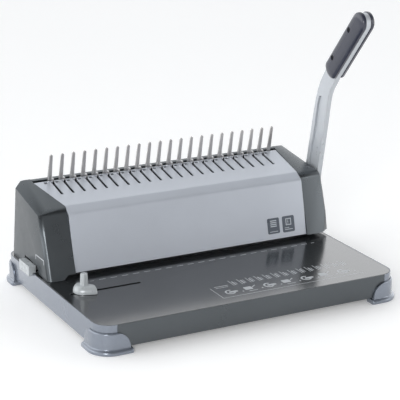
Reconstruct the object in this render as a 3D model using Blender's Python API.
"""Comb binding machine: punch and comb opener on one working tray.

+X runs to the lever side, +Y to the back and +Z up. The origin is on the desk,
under the middle of the machine. Dimensions are in millimetres and are scaled to
metres as each mesh is made.
"""
import math

import bmesh
import bpy
from mathutils import Matrix, Vector

MM = 0.001
GAP = 0.3

# tray
TRAY_LEFT = -195.4
TRAY_RIGHT = 186.1
TRAY_HALF_DEPTH = 135.1
TRAY_CORNER = 20.0
TRAY_BOTTOM = 6.5
TRAY_TOP = 33.0
TOP_THICK = 1.7
RIM_WALL = 3.0
SEAM_LEFT = -174.3
SEAM_RIGHT = 168.2
FLOOR_TOP = 8.3

# feet
FOOT_HEIGHT = 24.5
FOOT_WALL = 2.3
FOOT_RIM = 5.9
FOOT_RIM_HEIGHT = 4.8
FOOT_ALONG = {"left": 37.5, "right": 34.6}
FOOT_DEEP = {"front": 36.0, "rear": 32.4}

# comb geometry: the standard comb pitch
PITCH = 14.2875
TINES = 22
RINGS = TINES - 1

# silver cover, outer surface in the YZ plane
COVER_FOOT = (15.1, 38.4)
COVER_BEND_LOW = (31.5, 104.0)
COVER_BEND_HIGH = (42.3, 111.3)
SLOPE = math.radians(11.8)
COVER_BACK_Y = 102.0
SHEET = 2.0

# plan lines between the cover and the end caps
CAP_LEFT_FRONT = -157.0
CAP_LEFT_BACK = -171.3
CAP_RIGHT_FRONT = 155.2
CAP_RIGHT_BACK = 159.9
CAP_WALL = 2.4
CAP_LEFT_SIDE = -192.0

# slots and tines, in distances up the slope from the bend
SLOT_LOW = 26.4
SLOT_HIGH = 58.6
SLOT_WIDTH = 3.4
SLOT_SHIFT = 1.63
TINE_LINE = 63.0
TINE_THICK = 1.8
TINE_HEIGHT = 34.2
NOTCH_SHIFT = -7.0
NOTCH_LINE = 57.2

# drive
SHAFT_Y = 66.0
SHAFT_Z = 75.0
SHAFT_R = 6.0
BORE_R = 6.3
LEVER_SWING = math.radians(60.0)
ECCENTRIC = 7.0
ECCENTRIC_R = 15.0
HOOK_ARM = 27.0
HOOK_PIN_R = 3.0

# punches
PUNCH_Y = 34.0
PIN_WIDTH = 7.8
PIN_DEPTH = 2.8
PIN_BOTTOM = 38.2
PIN_TOP = 75.0
GUIDE_BOTTOM = 37.9
GUIDE_TOP = 50.4

# lever
LEVER_IN = 187.6
LEVER_OUT = 194.2
GRIP_AXIS = (21.6, 240.4)
GRIP_TIP = (-34.8, 309.6)
GRIP_HALF = 12.5


parts = bpy.data.collections.new("comb_binding_machine")
cutters = bpy.data.collections.new("cutters")


def clear_scene():
    for item in list(bpy.data.objects):
        bpy.data.objects.remove(item, do_unlink=True)
    bpy.context.scene.collection.children.link(parts)
    bpy.context.scene.collection.children.link(cutters)


def material(name, colour, roughness, metallic):
    made = bpy.data.materials.new(name)
    made.use_nodes = True
    shader = made.node_tree.nodes["Principled BSDF"]
    shader.inputs["Base Color"].default_value = (*colour, 1.0)
    shader.inputs["Roughness"].default_value = roughness
    shader.inputs["Metallic"].default_value = metallic
    return made


def new_object(name, mesh):
    item = bpy.data.objects.new(name, mesh)
    parts.objects.link(item)
    return item


def tidy_mesh(mesh):
    """Weld, recalculate normals and shade the round sides smooth."""
    work = bmesh.new()
    work.from_mesh(mesh)
    bmesh.ops.remove_doubles(work, verts=work.verts, dist=0.000002)
    bmesh.ops.recalc_face_normals(work, faces=work.faces)
    work.to_mesh(mesh)
    work.free()
    mesh.shade_smooth()
    mesh.set_sharp_from_angle(angle=math.radians(32))


def box(name, low, high):
    work = bmesh.new()
    bmesh.ops.create_cube(work, size=1.0)
    size = Vector(high) - Vector(low)
    middle = (Vector(high) + Vector(low)) / 2
    bmesh.ops.scale(work, vec=size * MM, verts=work.verts)
    bmesh.ops.translate(work, vec=middle * MM, verts=work.verts)
    mesh = bpy.data.meshes.new(name)
    work.to_mesh(mesh)
    work.free()
    return new_object(name, mesh)


def cylinder(name, start, end, radius, sides=24, end_radius=None):
    """Round bar between two points, tapered if it has an end radius."""
    start = Vector(start) * MM
    end = Vector(end) * MM
    span = end - start
    work = bmesh.new()
    bmesh.ops.create_cone(work, cap_ends=True, segments=sides, radius1=radius * MM,
                          radius2=(end_radius or radius) * MM, depth=span.length)
    turn = span.to_track_quat("Z", "Y").to_matrix().to_4x4()
    place = Matrix.Translation((start + end) / 2) @ turn
    bmesh.ops.transform(work, matrix=place, verts=work.verts)
    mesh = bpy.data.meshes.new(name)
    work.to_mesh(mesh)
    work.free()
    mesh.shade_smooth()
    mesh.set_sharp_from_angle(angle=math.radians(40))
    return new_object(name, mesh)


def drafted(name, lower, upper, low, high):
    """Solid between two plan outlines with the same number of points."""
    work = bmesh.new()
    rings = []
    for loop, level in ((lower, low), (upper, high)):
        rings.append([work.verts.new(Vector((x, y, level)) * MM) for x, y in loop])
    for index in range(len(lower)):
        after = (index + 1) % len(lower)
        work.faces.new((rings[0][index], rings[0][after], rings[1][after], rings[1][index]))
    work.faces.new(rings[0][::-1])
    work.faces.new(rings[1])
    bmesh.ops.triangulate(work, faces=work.faces)
    bmesh.ops.recalc_face_normals(work, faces=work.faces)
    mesh = bpy.data.meshes.new(name)
    work.to_mesh(mesh)
    work.free()
    return new_object(name, mesh)


def plane_matrix(plane, middle):
    """Place a flat outline: YZ, XZ, XY, or on the slope (SLOPE, TINE, PROFILE)."""
    up = Vector((0, -math.sin(SLOPE), math.cos(SLOPE)))
    along = Vector((0, math.cos(SLOPE), math.sin(SLOPE)))
    across = Vector((1, 0, 0))
    bend = Vector((0, *COVER_BEND_HIGH))
    axes = {
        "XY": (Vector((1, 0, 0)), Vector((0, 1, 0)), Vector((0, 0, 1)), Vector((0, 0, middle))),
        "XZ": (Vector((1, 0, 0)), Vector((0, 0, 1)), Vector((0, -1, 0)), Vector((0, middle, 0))),
        "YZ": (Vector((0, 1, 0)), Vector((0, 0, 1)), Vector((1, 0, 0)), Vector((middle, 0, 0))),
        "SLOPE": (across, along, up, bend + up * middle),
        "TINE": (across, up, -along, bend + along * middle),
        "PROFILE": (along, up, across, bend + across * middle),
    }
    first, second, third, origin = axes[plane]
    matrix = Matrix((first, second, third)).transposed().to_4x4()
    matrix.translation = origin * MM
    return matrix


def outline(name, loops, plane, low, high):
    """Solid made from closed flat loops, between two levels across their plane."""
    curve = bpy.data.curves.new(name, "CURVE")
    curve.dimensions = "2D"
    curve.fill_mode = "BOTH"
    curve.extrude = abs(high - low) / 2 * MM
    for loop in loops:
        spline = curve.splines.new("POLY")
        spline.points.add(len(loop) - 1)
        for point, (u, v) in zip(spline.points, loop):
            point.co = (u * MM, v * MM, 0, 1)
        spline.use_cyclic_u = True
    drawn = bpy.data.objects.new(name, curve)
    bpy.context.scene.collection.objects.link(drawn)
    graph = bpy.context.evaluated_depsgraph_get()
    mesh = bpy.data.meshes.new_from_object(drawn.evaluated_get(graph))
    bpy.data.objects.remove(drawn, do_unlink=True)
    bpy.data.curves.remove(curve)
    mesh.transform(plane_matrix(plane, (low + high) / 2))
    tidy_mesh(mesh)
    return new_object(name, mesh)


def boolean(target, tool, operation):
    mod = target.modifiers.new(operation.lower(), "BOOLEAN")
    mod.operation = operation
    mod.solver = "EXACT"
    mod.object = tool
    tool.hide_render = True
    tool.display_type = "WIRE"
    if tool.name not in cutters.objects:
        parts.objects.unlink(tool)
        cutters.objects.link(tool)


def cut(target, *tools):
    for tool in tools:
        boolean(target, tool, "DIFFERENCE")


def join(target, *tools):
    for tool in tools:
        boolean(target, tool, "UNION")


def keep(target, *tools):
    for tool in tools:
        boolean(target, tool, "INTERSECT")


def plane_cut(target, point, normal):
    """Cut away everything on the side of the plane that the normal points to."""
    normal = Vector(normal).normalized()
    work = bmesh.new()
    bmesh.ops.create_cube(work, size=500 * MM)
    turn = normal.to_track_quat("Z", "Y").to_matrix().to_4x4()
    place = Matrix.Translation((Vector(point) + normal * 250) * MM) @ turn
    bmesh.ops.transform(work, matrix=place, verts=work.verts)
    mesh = bpy.data.meshes.new(target.name + "_cut")
    work.to_mesh(mesh)
    work.free()
    cut(target, new_object(target.name + "_cut", mesh))


def arc(centre, radius, start, stop, steps, squash=1.0):
    """Points on a circle (or an ellipse) between two angles in degrees."""
    points = []
    for step in range(steps + 1):
        angle = math.radians(start + (stop - start) * step / steps)
        points.append((centre[0] + radius * math.cos(angle),
                       centre[1] + radius * squash * math.sin(angle)))
    return points


def rounded_rect(x0, y0, x1, y1, radius, steps=6):
    points = arc((x1 - radius, y1 - radius), radius, 0, 90, steps)
    points += arc((x0 + radius, y1 - radius), radius, 90, 180, steps)
    points += arc((x0 + radius, y0 + radius), radius, 180, 270, steps)
    points += arc((x1 - radius, y0 + radius), radius, 270, 360, steps)
    return points


def rect(x0, y0, x1, y1):
    return [(x0, y0), (x1, y0), (x1, y1), (x0, y1)]


def offset_path(path, distance, closed=False):
    """The path moved to its right-hand side, with mitred corners."""
    count = len(path)
    moved = []
    for index in range(count):
        here = Vector(path[index])
        before = Vector(path[index - 1]) if index or closed else None
        after = Vector(path[(index + 1) % count]) if index < count - 1 or closed else None
        normals = []
        for start, stop in ((before, here), (here, after)):
            if start is None or stop is None:
                continue
            run = (stop - start).normalized()
            normals.append(Vector((run.y, -run.x)))
        if len(normals) == 1:
            moved.append(tuple(here + normals[0] * distance))
            continue
        total = normals[0] + normals[1]
        moved.append(tuple(here + total * (distance * 2 / total.length_squared)))
    return moved


def sheet(path, thickness=SHEET):
    """Closed outline of a bent sheet whose outer side is the path."""
    return path + offset_path(path, thickness)[::-1]


def tray_loop(offset):
    """Plan outline of the tray, grown by the offset."""
    return rounded_rect(TRAY_LEFT - offset, -TRAY_HALF_DEPTH - offset, TRAY_RIGHT + offset,
                        TRAY_HALF_DEPTH + offset, TRAY_CORNER + offset)


def slope_z(y):
    return COVER_BEND_HIGH[1] + (y - COVER_BEND_HIGH[0]) * math.tan(SLOPE)


def tine_x(index):
    return (index - (TINES - 1) / 2) * PITCH


def ring_x(index):
    return (index - (RINGS - 1) / 2) * PITCH


# ------------------------------------------------------------------ tray

def rim(name, x0, y0, x1, y1):
    """One stretch of the wall that goes round the tray."""
    wall = outline(name, [tray_loop(0), tray_loop(-RIM_WALL)], "XY", TRAY_BOTTOM, TRAY_TOP)
    seat = outline(name + "_seat", [tray_loop(-0.9)], "XY", TRAY_TOP - TOP_THICK - GAP, TRAY_TOP + 5)
    cut(wall, seat)
    keep(wall, box(name + "_span", (x0, y0, 0), (x1, y1, 50)))
    return wall


def make_tray(silver, graphite, black):
    left = rim("side_rail_left", -250, -200, SEAM_LEFT, 200)
    right = rim("side_rail_right", SEAM_RIGHT, -200, 250, 200)
    cut(right, box("drawer_door", (150, 17.6, 8.4), (200, 56.4, 26.4)))
    front = rim("front_panel", SEAM_LEFT + GAP, -200, SEAM_RIGHT - GAP, -50)

    pan = outline("base_pan", [tray_loop(-RIM_WALL - GAP)], "XY", TRAY_BOTTOM, FLOOR_TOP)
    back = rim("back_wall", SEAM_LEFT + GAP, 50, SEAM_RIGHT - GAP, 200)
    join(pan, box("back_foot", (-150, 131, TRAY_BOTTOM), (150, 133, 12)), back)

    top = outline("tray_top_plate", [tray_loop(-1.2)], "XY", TRAY_TOP - TOP_THICK, TRAY_TOP)
    cut(top, box("die_window", (-163.2, 23.7, 20), (163.2, 50.3, 40)))
    slot = arc((-98.4, -32), 2, -90, 90, 4) + arc((-182, -32), 2, 90, 270, 4)
    cut(top, outline("guide_slot", [slot], "XY", 20, 40))
    for item, look in ((left, silver), (right, silver), (front, graphite), (pan, black), (top, graphite)):
        item.data.materials.append(look)


def make_foot(name, side, end, along, deep, look):
    """Corner foot: a wall round the corner on a flared rim, arched at both ends."""
    corner_x = TRAY_RIGHT if side > 0 else TRAY_LEFT
    corner_y = TRAY_HALF_DEPTH * end

    def plan(offset):
        radius = TRAY_CORNER + offset
        curve = arc((radius - offset, radius - offset), radius, 270, 180, 7)
        points = [(along, -offset)] + curve + [(-offset, deep), (8.0, deep), (along, 8.0)]
        return [(corner_x - side * u, corner_y - end * v) for u, v in points]

    def arch(reach, radius):
        curve = arc((reach - radius, 6.5), radius, 0, 90, 6, (FOOT_HEIGHT - 6.5) / radius)
        return [(-20, -1), (reach, -1)] + curve + [(-20, FOOT_HEIGHT)]

    along_arch = [(corner_x - side * u, w) for u, w in arch(along, 17.7)]
    deep_arch = [(corner_y - end * v, w) for v, w in arch(deep, 13.0)]
    wall = outline(name, [plan(FOOT_WALL)], "XY", 0, FOOT_HEIGHT)
    keep(wall, outline(name + "_arch_x", [along_arch], "XZ", -200, 200))
    keep(wall, outline(name + "_arch_y", [deep_arch], "YZ", -250, 250))
    join(wall, outline(name + "_rim", [plan(FOOT_RIM)], "XY", 0, FOOT_RIM_HEIGHT))
    cut(wall, outline(name + "_seat", [tray_loop(GAP)], "XY", TRAY_BOTTOM - GAP, 60))
    wall.data.materials.append(look)


def make_feet(silver):
    for side_name, side in (("left", -1), ("right", 1)):
        for end_name, end in (("front", -1), ("rear", 1)):
            name = "foot_%s_%s" % (end_name, side_name)
            make_foot(name, side, end, FOOT_ALONG[side_name], FOOT_DEEP[end_name], silver)


def make_drawer(look):
    """Open box for the punched chips, drawn out past the right rail."""
    body = box("chip_drawer", (-150, 18, 8.8), (TRAY_RIGHT, 56, 26))
    cut(body, box("drawer_hollow", (-148.2, 19.8, 10.6), (182.6, 54.2, 40)))
    cut(body, box("drawer_pull", (184.3, 27, 13.5), (195, 47, 21.5)))
    body.data.materials.append(look)


# ------------------------------------------------------------------ covers

def cap_profile():
    """Side view of the end caps."""
    back_top = arc((110.0, 121.7), 4.6, 98, 8, 3)
    return [(11.0, TRAY_TOP + GAP), (34.8, 104.0), (40.0, slope_z(40.0))] + back_top + [(125.5, TRAY_TOP + GAP)]


def cover_plan(offset, depth):
    """Plan outline between the end caps, grown by the offset."""
    return [(CAP_LEFT_FRONT - offset, -30), (CAP_RIGHT_FRONT + offset, -30),
            (CAP_RIGHT_FRONT + offset, COVER_BEND_HIGH[0]), (CAP_RIGHT_BACK + offset, 101),
            (CAP_RIGHT_BACK + offset, depth), (CAP_LEFT_BACK - offset, depth),
            (CAP_LEFT_BACK - offset, 101), (CAP_LEFT_FRONT - offset, COVER_BEND_HIGH[0])]


def make_front_cover(silver):
    path = [COVER_FOOT, COVER_BEND_LOW, COVER_BEND_HIGH, (COVER_BACK_Y, slope_z(COVER_BACK_Y))]
    cover = outline("front_cover", [sheet(path)], "YZ", -190, 190)
    keep(cover, outline("cover_plan", [cover_plan(-0.15, 150)], "XY", 20, 150))
    loops = []
    half = SLOT_WIDTH / 2
    for index in range(RINGS):
        x = tine_x(index) + SLOT_SHIFT
        loops.append(arc((x, SLOT_HIGH - half), half, 0, 180, 4) + arc((x, SLOT_LOW + half), half, 180, 360, 4))
    for index in range(TINES):
        x = tine_x(index) + NOTCH_SHIFT
        loops.append(rect(x - 2.0, NOTCH_LINE - 2.2, x + 2.0, NOTCH_LINE + 2.2))
    cut(cover, outline("cover_slots", loops, "SLOPE", -12, 12))
    cover.data.materials.append(silver)


def make_rear_cover(dark):
    path = [(105.0, 125.4), (110.4, 126.5), (114.4, 123.0), (125.3, TRAY_TOP + GAP)]
    cover = outline("rear_cover", [sheet(path)], "YZ", CAP_LEFT_BACK + 0.15, CAP_RIGHT_BACK - 0.15)
    cover.data.materials.append(dark)


def make_left_cap(dark):
    cap = outline("end_cap_left", [cap_profile()], "YZ", CAP_LEFT_SIDE, -150)
    plane_cut(cap, (-186.5, 11.0, 33.3), (-0.553, -0.789, 0.266))
    plane_cut(cap, (-180, *COVER_BEND_HIGH), (-0.394, -0.188, 0.900))
    plane_cut(cap, (-183, 125.5, 33.3), (-0.658, 0.746, 0.098))
    inside = offset_path(cap_profile(), CAP_WALL, closed=True)
    inside = [(y, z if z > 40 else 20) for y, z in inside]
    hollow = outline("cap_left_hollow", [inside], "YZ", CAP_LEFT_SIDE + 7.0, -140)
    plane_cut(hollow, (-180, COVER_BEND_HIGH[0], COVER_BEND_HIGH[1] - 2.6), (-0.394, -0.188, 0.900))
    pocket = outline("cap_left_pocket", [rect(22, 20, 88, 48)], "YZ", CAP_LEFT_SIDE + 3.0, -175)
    plan = outline("cap_left_plan", [cover_plan(0.15, 150)], "XY", 0, 160)
    cut(cap, hollow, pocket, plan)
    throat = [(-172, 30), (-172, 33.5), (-166, 38.2), (-140, 38.2), (-140, 30)]
    cut(cap, outline("cap_left_throat", [throat], "XZ", -20, 50))
    notch = [(26, 20), (26, 33.7), (38, 34.6), (43, 42.5), (81.5, 44.6), (81.5, 20)]
    cut(cap, outline("knob_notch", [notch], "YZ", -200, -180))
    cap.data.materials.append(dark)


def make_right_cap(dark):
    cap = outline("end_cap_right", [cap_profile()], "YZ", 150, 192)
    side = [(184.0, 130), (184.0, 111.6), (186.2, 99), (187.0, 86), (187.15, 66), (189.5, 37),
            (189.6, 20), (230, 20), (230, 130)]
    cut(cap, outline("cap_right_side", [side], "XZ", -50, 200))
    plane_cut(cap, (176.5, 12.1, 36.5), (0.595, -0.797, 0.106))
    plane_cut(cap, (184.0, 30.1, 90), (0.631, -0.736, 0.2475))
    plane_cut(cap, (182.3, 43, slope_z(43)), (0.7057, -0.0614, 0.7057))
    plane_cut(cap, (181, 125.5, 33.3), (0.658, 0.746, 0.098))
    inside = offset_path(cap_profile(), CAP_WALL, closed=True)
    inside = [(y, z if z > 40 else 20) for y, z in inside]
    hollow = outline("cap_right_hollow", [inside], "YZ", 140, 179)
    plane_cut(hollow, (182.3, 43, slope_z(43) - 3.4), (0.7057, -0.0614, 0.7057))
    plan = outline("cap_right_plan", [cover_plan(0.15, 150)], "XY", 0, 160)
    cut(cap, hollow, plan, box("cap_right_throat", (140, -20, 20), (200, 50, GUIDE_BOTTOM)))
    cut(cap, cylinder("cap_shaft_hole", (170, SHAFT_Y, SHAFT_Z), (200, SHAFT_Y, SHAFT_Z), 6.8))
    cut(cap, cylinder("cap_hub_seat", (187.1, SHAFT_Y, SHAFT_Z), (200, SHAFT_Y, SHAFT_Z), 16.6, 32))
    cap.data.materials.append(dark)


# ------------------------------------------------------------------ frame and drive

def make_side_plates(steel):
    foot_left = [(24, 33.4), (34, 33.4), (34, 39.5)]
    foot_right = [(24, 39.5)]
    shape = [(76, 39.5), (76, 33.4), (118, 33.4), (109, 112), (100, 114.5), (44, 103), (38, 96)]
    bore = arc((SHAFT_Y, SHAFT_Z), BORE_R, 0, 345, 23)
    for name, foot, low, high in (("side_plate_left", foot_left, -166.3, -163.8),
                                  ("side_plate_right", foot_right, 163.8, 166.3)):
        plate = outline(name, [foot + shape, bore], "YZ", low, high)
        plate.data.materials.append(steel)


def pin_holes():
    """Passages for all the punch pins, through the die, the guide and the bar."""
    loops = []
    for index in range(RINGS):
        x = ring_x(index)
        loops.append(rect(x - PIN_WIDTH / 2 - GAP, PUNCH_Y - PIN_DEPTH / 2 - GAP,
                          x + PIN_WIDTH / 2 + GAP, PUNCH_Y + PIN_DEPTH / 2 + GAP))
    return outline("pin_holes", loops, "XY", 15, 90)


def make_punch(steel, bright):
    holes = pin_holes()
    die = box("punch_die", (-162.8, 24, 26.5), (162.8, 50, TRAY_TOP))
    guide = box("punch_guide", (-163.4, 25.5, GUIDE_BOTTOM), (163.4, 42.5, GUIDE_TOP))
    bar = box("punch_bar", (-149.8, 28.5, 64), (149.8, 39.5, 76))
    for item in (die, guide, bar):
        cut(item, holes)
        item.data.materials.append(steel)
    for index in range(RINGS):
        x = ring_x(index)
        pin = box("punch_pin_%02d" % (index + 1),
                  (x - PIN_WIDTH / 2, PUNCH_Y - PIN_DEPTH / 2, PIN_BOTTOM),
                  (x + PIN_WIDTH / 2, PUNCH_Y + PIN_DEPTH / 2, PIN_TOP))
        pin.data.materials.append(bright)


def make_yokes(steel):
    """Frames round the eccentrics: they turn the swing into a straight stroke."""
    shape = [(38, 58.1), (81, 58.1), (81, 98.9), (38, 98.9), (38, 77), (30, 77), (30, 62), (38, 62)]
    window = rect(43.2, 63.1, 75.8, 93.9)
    for name, low, high in (("yoke_left", -155.0, -150.4), ("yoke_right", 150.4, 155.0)):
        yoke = outline(name, [shape, window], "YZ", low, high)
        yoke.data.materials.append(steel)


def link_loop(first, first_r, second, second_r):
    """Outline of a link: two round ends and their tangents."""
    run = Vector(second) - Vector(first)
    heading = math.degrees(math.atan2(run.y, run.x))
    lean = math.degrees(math.acos((first_r - second_r) / run.length))
    return (arc(second, second_r, heading - lean, heading + lean, 6)
            + arc(first, first_r, heading + lean, heading + 360 - lean, 12))


def make_cranks(steel):
    """Each crank carries an eccentric for its yoke and an arm for the hook comb."""
    half = LEVER_SWING / 2
    lobe = (SHAFT_Y - ECCENTRIC * math.cos(half), SHAFT_Z + ECCENTRIC * math.sin(half))
    lean = half - SLOPE
    tip = (SHAFT_Y + HOOK_ARM * math.sin(lean), SHAFT_Z + HOOK_ARM * math.cos(lean))
    for name, side in (("crank_left", -1), ("crank_right", 1)):
        arm = outline(name, [link_loop((SHAFT_Y, SHAFT_Z), 9.5, tip, 5.5)], "YZ", side * 159.8, side * 162.8)
        hub = cylinder(name + "_hub", (side * 150.2, SHAFT_Y, SHAFT_Z), (side * 161.5, SHAFT_Y, SHAFT_Z), 9.0)
        disc = cylinder(name + "_lobe", (side * 150.2, *lobe), (side * 155.2, *lobe), ECCENTRIC_R, 32)
        pin = cylinder(name + "_pin", (side * 156.2, *tip), (side * 161.0, *tip), HOOK_PIN_R, 16)
        bore = cylinder(name + "_bore", (side * 140, SHAFT_Y, SHAFT_Z), (side * 170, SHAFT_Y, SHAFT_Z), BORE_R)
        join(arm, hub, disc, pin)
        cut(arm, bore)
        arm.data.materials.append(steel)


def make_shaft(bright):
    shaft = cylinder("main_shaft", (-169, SHAFT_Y, SHAFT_Z), (194.0, SHAFT_Y, SHAFT_Z), SHAFT_R)
    bolt = cylinder("lever_bolt", (194.5, SHAFT_Y, SHAFT_Z), (198.6, SHAFT_Y, SHAFT_Z), 9.0)
    shaft.data.materials.append(bright)
    bolt.data.materials.append(bright)


def make_tine_comb(bright):
    """Stamped plate with the fixed tines, square to the slope."""
    points = [(-163.4, -18), (163.4, -18), (163.4, -6), (155.5, -6), (155.5, -2)]
    for index in reversed(range(TINES)):
        x = tine_x(index)
        side = [(2.7, -2), (2.65, 4), (2.0, 31.6), (1.5, 33.2)]
        points += [(x + u, v) for u, v in side] + [(x, TINE_HEIGHT)]
        points += [(x - u, v) for u, v in reversed(side)]
    points += [(-155.5, -2), (-155.5, -6), (-163.4, -6)]
    comb = outline("tine_comb", [points], "TINE", TINE_LINE - TINE_THICK / 2, TINE_LINE + TINE_THICK / 2)
    comb.data.materials.append(bright)


def make_hook_comb(bright):
    """Sliding plate with one hook in each slot and a slotted lug at each end."""
    plate = outline("hook_comb", [[(-159.5, 22.8), (-153, 22.8), (-153, 42), (153, 42), (153, 22.8),
                                   (159.5, 22.8), (159.5, 59.5), (-159.5, 59.5)]], "SLOPE", -7.4, -5.8)
    hook = [(54.1, -6.6), (57.9, -6.6), (57.9, 0.5), (59.8, 1.2), (61.0, 2.6), (60.6, 4.2), (58.6, 5.0),
            (56.2, 4.3), (54.6, 2.4)]
    for index in range(RINGS):
        x = tine_x(index) + SLOT_SHIFT
        join(plate, outline("hook_%02d" % (index + 1), [hook], "PROFILE", x - 1.1, x + 1.1))
    drive_v = (SHAFT_Y - COVER_BEND_HIGH[0]) * math.cos(SLOPE) + (SHAFT_Z - COVER_BEND_HIGH[1]) * math.sin(SLOPE)
    drive_n = (SHAFT_Z - COVER_BEND_HIGH[1]) * math.cos(SLOPE) - (SHAFT_Y - COVER_BEND_HIGH[0]) * math.sin(SLOPE)
    half = LEVER_SWING / 2
    pin_v = drive_v + HOOK_ARM * math.sin(half)
    low_n = drive_n + HOOK_ARM * math.cos(half) - HOOK_PIN_R - 0.6
    high_n = drive_n + HOOK_ARM + HOOK_PIN_R + 0.6
    lug = [(22.8, -9.0), (22.8, -24), (37, -24), (40, -6.6), (25.2, -6.6)]
    slot = rect(pin_v - HOOK_PIN_R - 0.7, low_n, pin_v + HOOK_PIN_R + 0.7, high_n)
    for name, low, high in (("hook_lug_left", -159.5, -156.5), ("hook_lug_right", 156.5, 159.5)):
        join(plate, outline(name, [lug, slot], "PROFILE", low, high))
    plate.data.materials.append(bright)


def make_springs(bright):
    """Coils that push the yokes back up."""
    for name, x in (("return_spring_left", -152.7), ("return_spring_right", 152.7)):
        curve = bpy.data.curves.new(name, "CURVE")
        curve.dimensions = "3D"
        curve.bevel_depth = 0.9 * MM
        curve.bevel_resolution = 1
        curve.use_fill_caps = True
        spline = curve.splines.new("POLY")
        turns = 5
        steps = turns * 12
        spline.points.add(steps)
        for step, point in enumerate(spline.points):
            angle = step / 12 * math.tau
            z = 34.6 + (56.8 - 34.6) * step / steps
            point.co = ((x + 5 * math.cos(angle)) * MM, (66 + 5 * math.sin(angle)) * MM, z * MM, 1)
        drawn = bpy.data.objects.new(name, curve)
        bpy.context.scene.collection.objects.link(drawn)
        graph = bpy.context.evaluated_depsgraph_get()
        mesh = bpy.data.meshes.new_from_object(drawn.evaluated_get(graph))
        bpy.data.objects.remove(drawn, do_unlink=True)
        bpy.data.curves.remove(curve)
        tidy_mesh(mesh)
        mesh.materials.clear()
        mesh.materials.append(bright)
        new_object(name, mesh)


# ------------------------------------------------------------------ lever

def grip_frame():
    """Direction along the grip and the direction to its rear edge."""
    along = (Vector(GRIP_TIP) - Vector(GRIP_AXIS)).normalized()
    return along, Vector((along.y, -along.x))


def grip_point(along_mm, rear_mm):
    along, rear = grip_frame()
    return tuple(Vector(GRIP_AXIS) + along * along_mm + rear * rear_mm)


def grip_loop(half):
    """Outline of the grip: straight sides, a round tip and a softly rounded foot."""
    rear = grip_frame()[1]
    heading = math.degrees(math.atan2(rear.y, rear.x))
    points = arc(GRIP_TIP, half, heading, heading + 180, 12)
    for step in range(1, 8):
        angle = math.pi * step / 7
        points.append(grip_point(4.5 - 10.0 * math.sin(angle) ** 0.8, -half * math.cos(angle)))
    return points


def dome(item, side, steps):
    """Round the outer face of a plate by insetting it in steps."""
    work = bmesh.new()
    work.from_mesh(item.data)
    bmesh.ops.dissolve_limit(work, angle_limit=math.radians(1), verts=work.verts, edges=work.edges)
    face = max(work.faces, key=lambda one: one.calc_center_median().x * side)
    for inset, rise in steps:
        bmesh.ops.inset_region(work, faces=[face], thickness=inset * MM, depth=rise * MM)
    work.to_mesh(item.data)
    work.free()
    item.data.shade_smooth()
    item.data.set_sharp_from_angle(angle=math.radians(50))


def make_lever_arm(silver):
    """Cranked bar with a long shallow recess on its inner face."""
    along, rear = grip_frame()
    heading = math.degrees(math.atan2(rear.y, rear.x))
    back = [(80.8, 77), (72.3, 114.6), (65.3, 151.7), (59.2, 182.8), (55.9, 198), (51.6, 211.5),
            (45.6, 224.5), (37.8, 236.6)]
    front = [(17.0, 226.6), (24.0, 217), (28.5, 207), (31.0, 195), (32.8, 182.6), (38.5, 149.3),
             (44.2, 115.5), (51.2, 73)]
    shape = back + [grip_point(0, 11.5)] + arc(GRIP_TIP, 11.5, heading, heading + 180, 10)
    shape += [grip_point(0, -11.5)] + front + arc((SHAFT_Y, SHAFT_Z), 15, 188, 368, 12)[1:-1]
    arm = outline("lever_arm", [shape], "YZ", LEVER_IN, LEVER_OUT)
    recess = [(66.5, 104), (65, 120.2), (56.3, 164), (52.3, 190.5), (49.6, 200)]
    recess += arc((44.8, 199.5), 4.7, 20, 170, 4) + [(41.5, 184), (46.2, 150), (52, 112), (53.5, 104)]
    cut(arm, outline("lever_recess", [recess], "YZ", LEVER_IN - 5, LEVER_IN + 2.2))
    cut(arm, cylinder("lever_bore", (180, SHAFT_Y, SHAFT_Z), (200, SHAFT_Y, SHAFT_Z), BORE_R))
    arm.data.materials.append(silver)
    return arm


def make_grip(arm, dark, bright):
    inner = outline("grip_inner", [grip_loop(GRIP_HALF)], "YZ", LEVER_IN - GAP - 2.8, LEVER_IN - GAP)
    dome(inner, -1, ((0.8, 1.4), (1.6, 1.2), (2.8, 0.8)))
    outer = outline("grip_outer", [grip_loop(GRIP_HALF)], "YZ", LEVER_OUT + GAP, LEVER_OUT + GAP + 2.8)
    dome(outer, 1, ((0.8, 1.4), (1.6, 1.2), (2.8, 0.8)))
    for name, reach in (("grip_screw_lower", 19.5), ("grip_screw_upper", 70.5)):
        spot = grip_point(reach, 5.5)
        screw = cylinder(name, (182.6, *spot), (184.8, *spot), 3.0, 16)
        join(screw, cylinder(name + "_shank", (184.0, *spot), (197.6, *spot), 1.7, 12))
        sink = cylinder(name + "_sink", (175, *spot), (185.1, *spot), 3.3, 16)
        hole = cylinder(name + "_hole", (175, *spot), (197.9, *spot), 2.0, 12)
        cut(inner, sink, hole)
        cut(arm, hole)
        cut(outer, hole)
        screw.data.materials.append(bright)
    for item in (inner, outer):
        item.data.materials.append(dark)


# ------------------------------------------------------------------ settings

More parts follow.
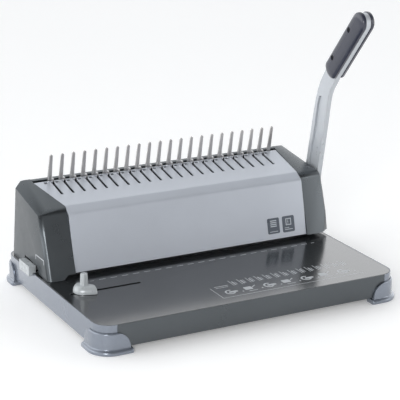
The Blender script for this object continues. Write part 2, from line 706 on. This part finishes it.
def make_edge_guide(light, black):
    """Half-round slider with drafted sides and an upright post, and its clip under the tray."""
    lower = [(-156.0, -46.3), (-154.9, -36.0), (-168.5, -21.0), (-174.5, -20.4), (-177.6, -24.5),
             (-178.6, -30.5), (-177.4, -36.6), (-172.0, -40.6), (-164.0, -43.6)]
    upper = [(-157.6, -41.4), (-156.3, -36.6), (-168.9, -22.6), (-172.0, -22.3), (-173.6, -25.2),
             (-174.2, -29.8), (-172.9, -33.9), (-168.9, -36.6), (-163.3, -39.1)]
    guide = drafted("edge_guide", lower, upper, TRAY_TOP + GAP, 42.0)
    post = cylinder("guide_post", (-166.7, -31.6, 36), (-166.7, -31.6, 55.5), 4.9, 24, 4.05)
    stem = box("guide_stem", (-170.0, -33.4, 28.4), (-165.0, -30.6, 36))
    join(guide, post, stem)
    clip = box("edge_guide_clip", (-174.5, -42, 27.4), (-160.5, -22, 31.0))
    cut(clip, box("clip_hole", (-170.4, -33.8, 20), (-164.6, -30.2, 40)))
    guide.data.materials.append(light)
    clip.data.materials.append(black)


def make_depth_setting(light, steel):
    """Knob on the left rail and the stop bar that it moves."""
    knob = box("depth_knob", (-200.7, 48, 33.4), (-192.0, 78, 42.3))
    lip = box("knob_lip", (-200.7, 48, 30.0), (-195.7, 78, 36))
    join(knob, lip, box("knob_stem", (-194, 56, 33.8), (-171.2, 68, 38.2)))
    stop = box("depth_stop", (-150, 41, 33.4), (150, 45, 37.3))
    join(stop, box("stop_arm", (-170.8, 41, 33.4), (-145, 49, 37.3)))
    knob.data.materials.append(light)
    stop.data.materials.append(steel)


def attach(name, location, nodes):
    """Group moving pieces under an empty that stands on their joint's axis."""
    empty = bpy.data.objects.new(name, None)
    empty.location = Vector(location) * MM
    empty.empty_display_size = 0.02
    parts.objects.link(empty)
    bpy.context.view_layer.update()
    for node in nodes:
        item = bpy.data.objects[node]
        item.parent = empty
        item.matrix_parent_inverse = empty.matrix_world.inverted()


def make_joints():
    attach("lever_axis", (0, SHAFT_Y, SHAFT_Z),
           ["lever_arm", "grip_inner", "grip_outer", "grip_screw_lower", "grip_screw_upper",
            "main_shaft", "lever_bolt", "crank_left", "crank_right"])
    pins = ["punch_pin_%02d" % (index + 1) for index in range(RINGS)]
    attach("punch_axis", (0, PUNCH_Y, 70), ["punch_bar", "yoke_left", "yoke_right"] + pins)
    attach("hook_axis", (0, 96, 120), ["hook_comb"])
    attach("edge_guide_axis", (-167.5, -32, TRAY_TOP), ["edge_guide", "edge_guide_clip"])
    attach("depth_knob_axis", (-197, 63, 38), ["depth_knob"])
    attach("depth_stop_axis", (0, 43, 35), ["depth_stop"])
    attach("drawer_axis", (TRAY_RIGHT, 37, 17), ["chip_drawer"])


def main():
    clear_scene()
    silver = material("silver_paint", (0.42, 0.45, 0.49), 0.35, 0.3)
    pale = material("pale_lever", (0.62, 0.65, 0.68), 0.35, 0.3)
    graphite = material("graphite_gloss", (0.09, 0.10, 0.105), 0.25, 0.0)
    dark = material("dark_plastic", (0.11, 0.12, 0.125), 0.4, 0.0)
    black = material("black_plastic", (0.02, 0.02, 0.022), 0.5, 0.0)
    light = material("light_plastic", (0.55, 0.58, 0.60), 0.4, 0.0)
    grip = material("grip_plastic", (0.06, 0.065, 0.09), 0.25, 0.0)
    steel = material("steel", (0.40, 0.41, 0.42), 0.4, 1.0)
    bright = material("bright_steel", (0.55, 0.55, 0.56), 0.25, 1.0)
    make_tray(silver, graphite, black)
    make_feet(silver)
    make_drawer(black)
    make_front_cover(silver)
    make_rear_cover(dark)
    make_left_cap(dark)
    make_right_cap(dark)
    make_side_plates(steel)
    make_punch(steel, bright)
    make_yokes(steel)
    make_cranks(steel)
    make_shaft(bright)
    make_tine_comb(bright)
    make_hook_comb(bright)
    make_springs(bright)
    make_grip(make_lever_arm(pale), grip, bright)
    make_edge_guide(light, black)
    make_depth_setting(light, steel)
    make_joints()


main()
